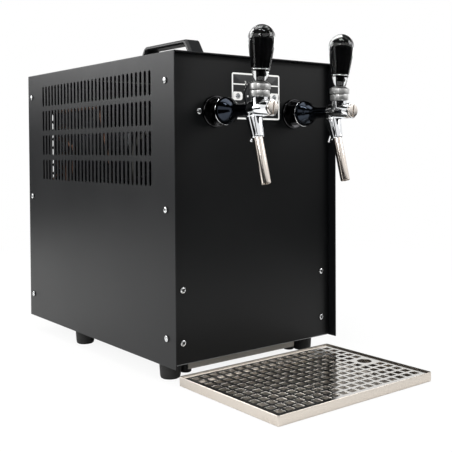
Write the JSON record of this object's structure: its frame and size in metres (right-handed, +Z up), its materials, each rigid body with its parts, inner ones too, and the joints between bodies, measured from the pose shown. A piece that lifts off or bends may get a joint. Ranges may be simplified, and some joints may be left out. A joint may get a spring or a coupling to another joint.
{
  "type": "draft beer dispenser",
  "caption": "Countertop draft beer cooler with chrome taps, clear tap handles, slotted sheet-metal cabinet, carry handle and loose stainless drip tray.",
  "frame": {"origin": "on the table, under the middle of the box around the cabinet and its drip tray", "axes": "+Z up; +Y from the taps to the back of the cabinet; +X to the right seen from the taps"},
  "size_m": [0.3164, 0.7078, 0.5126],
  "materials": {
    "powder_coat": "fine-textured black powder coat",
    "chrome": "polished chrome plate",
    "satin_steel": "satin stainless steel",
    "galvanised": "galvanised sheet",
    "rubber": "matt black rubber",
    "black_plastic": "matt black plastic",
    "gloss_black": "gloss black",
    "compressor_paint": "gloss black enamel",
    "clear_acrylic": "clear cast acrylic",
    "label_film": "black printed film",
    "copper": "copper tube",
    "aluminium": "bare aluminium",
    "foam": "closed-cell insulation"
  },
  "bodies": {
    "cabinet": {"base_pan": "galvanised", "foot_front_left": "rubber", "foot_front_right": "rubber", "foot_rear_left": "rubber", "foot_rear_right": "rubber", "cross_rail": "galvanised", "rail_buffer_left": "rubber", "rail_buffer_right": "rubber", "front_panel": "powder_coat", "rear_panel": "powder_coat", "cover": "powder_coat", "carry_handle": "black_plastic", "control_label": "label_film", "thermostat": "galvanised", "cold_jacket": "foam", "cold_core": "aluminium", "left_product_coil": "satin_steel", "right_product_coil": "satin_steel", "compressor": "compressor_paint", "condenser": "aluminium", "fan_shroud": "galvanised", "fan_motor": "galvanised", "filter_drier": "copper", "discharge_pipe": "copper", "suction_pipe": "copper", "beer_inlets": "black_plastic", "mains_inlet": "black_plastic", "left_wall_flange": "chrome", "left_hex_nut": "chrome", "left_shank": "chrome", "left_tap_body": "chrome", "left_end_plug": "satin_steel", "left_neck_nut": "satin_steel", "left_spout": "chrome", "left_nozzle": "satin_steel", "left_lock_nut": "satin_steel", "right_wall_flange": "chrome", "right_hex_nut": "chrome", "right_shank": "chrome", "right_tap_body": "chrome", "right_end_plug": "satin_steel", "right_neck_nut": "satin_steel", "right_spout": "chrome", "right_nozzle": "satin_steel", "right_lock_nut": "satin_steel"},
    "left_tap_lever": {"left_lever_stem": "satin_steel", "left_collar_nut": "satin_steel", "left_handle_core": "gloss_black", "left_handle_shell": "clear_acrylic"},
    "left_flow_lever": {"left_flow_lever": "chrome"},
    "right_tap_lever": {"right_lever_stem": "satin_steel", "right_collar_nut": "satin_steel", "right_handle_core": "gloss_black", "right_handle_shell": "clear_acrylic"},
    "right_flow_lever": {"right_flow_lever": "chrome"},
    "thermostat_knob": {"thermostat_knob": "black_plastic"},
    "fan": {"fan_blade": "black_plastic"},
    "power_rocker": {"rocker_switch": "gloss_black"},
    "tray": {"drip_tray": "satin_steel"},
    "grille": {"drip_grille": "satin_steel"}
  },
  "joints": [
    {"name": "left_tap_lever_tilt", "type": "hinge", "parent": "cabinet", "child": "left_tap_lever", "pos_m": [-0.0755, -0.24055, 0.4046], "axis": [1, 0, 0], "range_deg": [0, 36]},
    {"name": "left_flow_lever_turn", "type": "hinge", "parent": "cabinet", "child": "left_flow_lever", "pos_m": [-0.0622, -0.22535, 0.3846], "axis": [-1, 0, 0], "range_deg": [0, 75]},
    {"name": "right_tap_lever_tilt", "type": "hinge", "parent": "cabinet", "child": "right_tap_lever", "pos_m": [0.0755, -0.24055, 0.4046], "axis": [1, 0, 0], "range_deg": [0, 36]},
    {"name": "right_flow_lever_turn", "type": "hinge", "parent": "cabinet", "child": "right_flow_lever", "pos_m": [0.0888, -0.22535, 0.3846], "axis": [-1, 0, 0], "range_deg": [0, 75]},
    {"name": "thermostat_turn", "type": "hinge", "parent": "cabinet", "child": "thermostat_knob", "pos_m": [0, -0.14195, 0.4086], "axis": [0, 1, 0], "range_deg": [-45, 225]},
    {"name": "fan_spin", "type": "hinge", "parent": "cabinet", "child": "fan", "pos_m": [0, 0.24715, 0.3488], "axis": [0, 1, 0], "continuous": true},
    {"name": "power_rocker_tip", "type": "hinge", "parent": "cabinet", "child": "power_rocker", "pos_m": [-0.095, 0.32675, 0.1558], "axis": [-1, 0, 0], "range_deg": [0, 14]},
    {"name": "tray_pull", "type": "slide", "parent": "cabinet", "child": "tray", "axis": [0, -1, 0], "range_m": [0, 0.2]},
    {"name": "grille_lift", "type": "slide", "parent": "tray", "child": "grille", "axis": [0, 0, 1], "range_m": [0, 0.06]}
  ]
}
